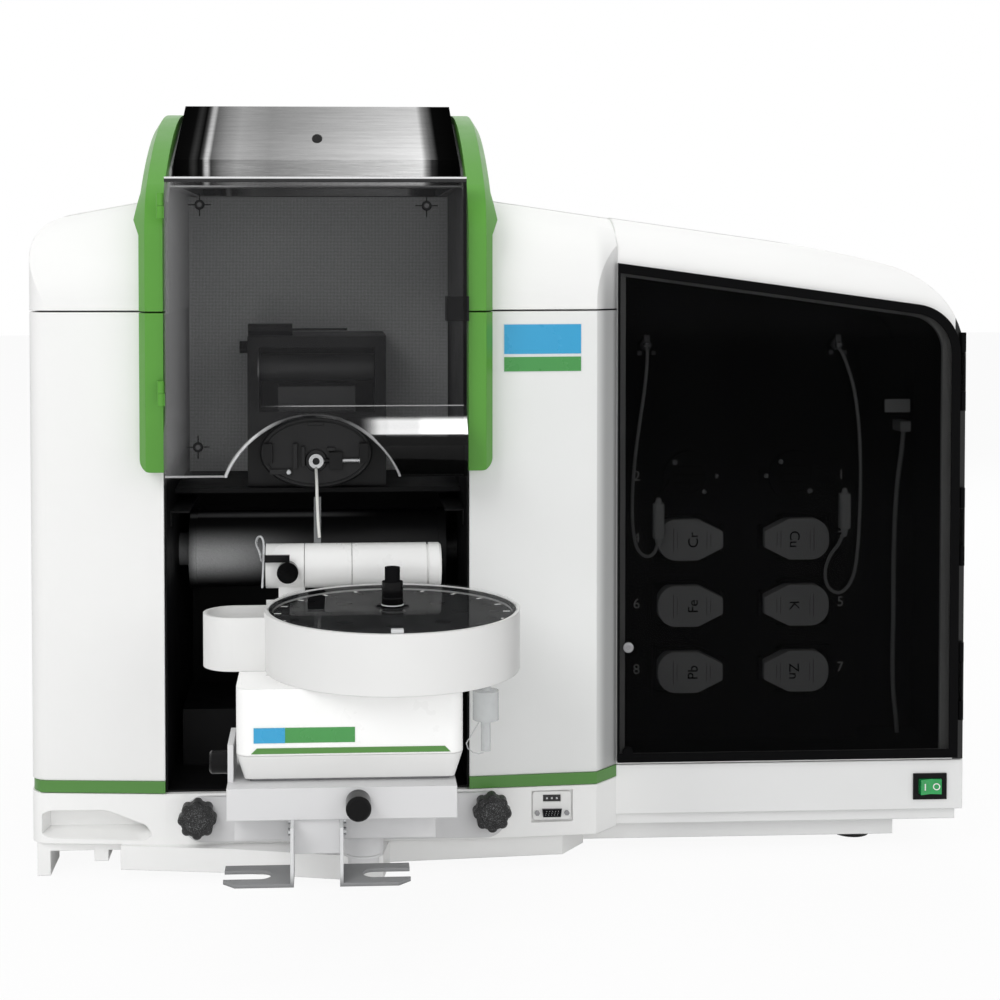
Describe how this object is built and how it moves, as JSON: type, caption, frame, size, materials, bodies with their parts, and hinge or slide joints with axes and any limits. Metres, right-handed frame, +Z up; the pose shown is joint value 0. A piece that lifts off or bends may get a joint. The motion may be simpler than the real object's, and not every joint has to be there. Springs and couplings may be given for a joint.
{
  "type": "atomic absorption spectrometer",
  "caption": "Bench spectrometer cabinet with smoked furnace window, steel chimney, tinted lamp-bay door and a swing-out carousel sampler on a front bracket.",
  "frame": {"origin": "middle of the footprint on the bench", "axes": "+X to the right seen from the front, +Y to the back, +Z up; the front faces -Y"},
  "size_m": [0.953, 0.93, 0.783],
  "materials": {
    "white_casing": "smooth satin paint",
    "white_plastic": "fine satin moulding",
    "green_cheek": "smooth moulded, light gloss",
    "steel": "brushed sheet",
    "black_sheet": "black powder coat",
    "black_plastic": "fine black moulding",
    "gloss_black": "glossy black",
    "smoke": "smoked clear plastic",
    "door_tint": "dark tinted clear plastic",
    "clear_plastic": "clear moulding",
    "rubber": "plain",
    "white_tube": "flexible capillary",
    "grey_arm": "cloudy grey",
    "grey_metal": "machined satin",
    "lamp_grey": "moulded lamp end",
    "screen_grey": "fine perforated sheet",
    "green_rocker": "lit green rocker"
  },
  "bodies": {
    "cabinet": {"back_panel": "white_casing", "base_tray": "white_plastic", "bay_liner": "black_sheet", "bay_fittings": "black_sheet", "cheeks_lower": "green_cheek", "cheeks_upper": "green_cheek", "chimney": "steel", "contact_fittings": "grey_metal", "contact_head": "black_plastic", "door_hinges": "gloss_black", "furnace_core": "grey_metal", "furnace_housing": "black_sheet", "furnace_lever": "gloss_black", "lamp_board": "black_plastic", "lamp_lead_1": "rubber", "lamp_lead_2": "rubber", "lamp_tail_1": "rubber", "lamp_tail_2": "rubber", "lamp_liner": "black_sheet", "lamps": "lamp_grey", "lead_plugs": "black_plastic", "left_panel": "white_casing", "magnet_drum": "gloss_black", "main_cover": "white_casing", "mount_bracket": "white_casing", "port_plate": "grey_metal", "rear_fittings": "black_plastic", "rear_screen": "screen_grey", "right_panel": "white_casing", "rubber_feet": "rubber", "service_cable": "rubber", "switch_bezel": "black_plastic", "trim_strips": "green_cheek", "window_fittings": "black_plastic"},
    "window": {"window_pane": "smoke", "window_rail": "steel"},
    "lamp_door": {"door_pane": "door_tint", "door_trim": "gloss_black"},
    "power_switch": {"power_rocker": "green_rocker"},
    "clamp_knob_left": {"star_knob_left": "gloss_black"},
    "clamp_knob_right": {"star_knob_right": "gloss_black"},
    "swing_deck": {"deck": "white_casing", "forks": "steel", "fork_screws": "steel"},
    "depth_knob": {"front_knob": "gloss_black"},
    "cross_knob": {"side_knob": "grey_metal"},
    "cross_carriage": {"sampler_slide": "black_sheet"},
    "sampler": {"sampler_pan": "white_plastic", "sampler_body": "white_plastic", "sampler_stripe": "green_cheek", "tub": "white_plastic", "turret_body": "white_plastic", "tube_clamp": "gloss_black", "wire_loop": "white_tube", "drain_nozzle": "clear_plastic"},
    "carousel": {"sample_tray": "black_plastic"},
    "lid": {"tray_lid": "clear_plastic"},
    "probe_swing": {"swing_drum": "white_plastic", "probe_arm": "grey_arm", "probe_tube": "white_tube"}
  },
  "joints": [
    {"name": "window_hinge", "type": "hinge", "parent": "cabinet", "child": "window", "pos_m": [-0.3402, -0.2485, 0.56], "axis": [0, 0, -1], "range_deg": [0, 95]},
    {"name": "lamp_door_hinge", "type": "hinge", "parent": "cabinet", "child": "lamp_door", "pos_m": [0.4726, -0.1792, 0.34], "axis": [0, 0, 1], "range_deg": [0, 120]},
    {"name": "power_rocker_tip", "type": "hinge", "parent": "cabinet", "child": "power_switch", "pos_m": [0.442, -0.176, 0.07], "axis": [0, 0, -1], "range_deg": [0, 10]},
    {"name": "left_clamp_turn", "type": "hinge", "parent": "cabinet", "child": "clamp_knob_left", "pos_m": [-0.309, -0.225, 0.064], "axis": [0, -1, 0], "range_deg": [0, 360]},
    {"name": "right_clamp_turn", "type": "hinge", "parent": "cabinet", "child": "clamp_knob_right", "pos_m": [-0.017, -0.225, 0.066], "axis": [0, -1, 0], "range_deg": [0, 360]},
    {"name": "deck_swing", "type": "hinge", "parent": "cabinet", "child": "swing_deck", "pos_m": [-0.1475, -0.383, 0.12], "axis": [0, 0, 1], "range_deg": [0, 70]},
    {"name": "cross_slide", "type": "slide", "parent": "swing_deck", "child": "cross_carriage", "axis": [1, 0, 0], "range_m": [-0.002, 0.002]},
    {"name": "depth_slide", "type": "slide", "parent": "cross_carriage", "child": "sampler", "axis": [0, 1, 0], "range_m": [-0.003, 0.003]},
    {"name": "cross_knob_turn", "type": "hinge", "parent": "swing_deck", "child": "cross_knob", "pos_m": [-0.275, -0.395, 0.17], "axis": [1, 0, 0], "range_deg": [-180, 180]},
    {"name": "depth_knob_turn", "type": "hinge", "parent": "swing_deck", "child": "depth_knob", "pos_m": [-0.153, -0.45, 0.146], "axis": [0, 1, 0], "range_deg": [-270, 270]},
    {"name": "carousel_turn", "type": "hinge", "parent": "sampler", "child": "carousel", "pos_m": [-0.12, -0.348, 0.285], "axis": [0, 0, 1], "continuous": true},
    {"name": "lid_lift", "type": "slide", "parent": "sampler", "child": "lid", "axis": [0, 0, 1], "range_m": [0, 0.09]},
    {"name": "probe_arm_swing", "type": "hinge", "parent": "sampler", "child": "probe_swing", "pos_m": [-0.179, -0.205, 0.311], "axis": [1, 0, 0], "range_deg": [0, 105]}
  ],
  "couplings": [
    {"joint": "cross_knob_turn", "follows": "cross_slide", "rad_per_m": 1570.8},
    {"joint": "depth_knob_turn", "follows": "depth_slide", "rad_per_m": 1570.8}
  ]
}
